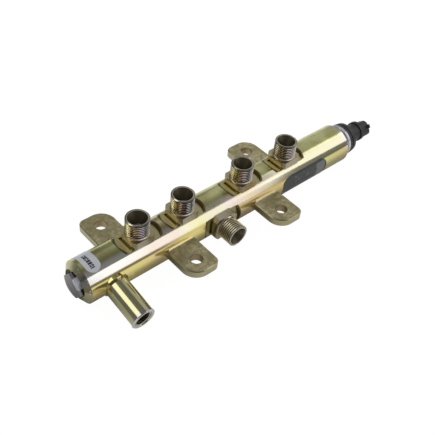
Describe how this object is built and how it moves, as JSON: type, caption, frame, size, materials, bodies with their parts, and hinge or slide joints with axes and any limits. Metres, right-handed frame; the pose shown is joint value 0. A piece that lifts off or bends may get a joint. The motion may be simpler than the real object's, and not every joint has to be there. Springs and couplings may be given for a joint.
{
  "type": "fuel rail",
  "caption": "Forged common-rail fuel rail with threaded outlet stubs, inlet stub, fixing lugs, return stub, relief valve and pressure sensor.",
  "frame": {"origin": "on the rail's axis, in the face of the plug end", "axes": "+X along the rail to the sensor end, +Y to the back, +Z along the outlet stubs"},
  "size_m": [0.2794, 0.0856, 0.0451],
  "materials": {
    "plated_steel": "yellow-passivated zinc plating, satin",
    "dark_steel": "dark oiled steel",
    "hard_steel": "ground hardened steel",
    "spring_steel": "drawn spring wire",
    "bright_steel": "turned stainless steel",
    "tinned_pin": "tinned, bright",
    "seal_rubber": "matte",
    "board": "lacquered circuit board",
    "black_plastic": "moulded, fine satin",
    "pale_label": "satin film",
    "dark_label": "satin film"
  },
  "bodies": {
    "rail": {"rail_body": "plated_steel", "return_stub": "plated_steel", "valve_plug": "dark_steel", "valve_plug_o_ring": "seal_rubber", "valve_seat": "hard_steel", "valve_shim": "hard_steel", "valve_spring": "spring_steel", "outlet_restrictor_1": "hard_steel", "outlet_restrictor_2": "hard_steel", "outlet_restrictor_3": "hard_steel", "outlet_restrictor_4": "hard_steel", "sensor_base": "bright_steel", "sensor_diaphragm": "bright_steel", "sensor_board": "board", "sensor_seal": "seal_rubber", "sensor_housing": "black_plastic", "sensor_terminal_1": "tinned_pin", "sensor_terminal_2": "tinned_pin", "sensor_terminal_3": "tinned_pin", "label_top": "pale_label", "label_front": "dark_label"},
    "relief_poppet": {"valve_poppet": "hard_steel"}
  },
  "joints": [
    {"name": "relief_lift", "type": "slide", "parent": "rail", "child": "relief_poppet", "axis": [-1, 0, 0], "range_m": [0, 0.0012], "stiffness_N_per_m": 500, "deforming": ["valve_spring"]}
  ]
}
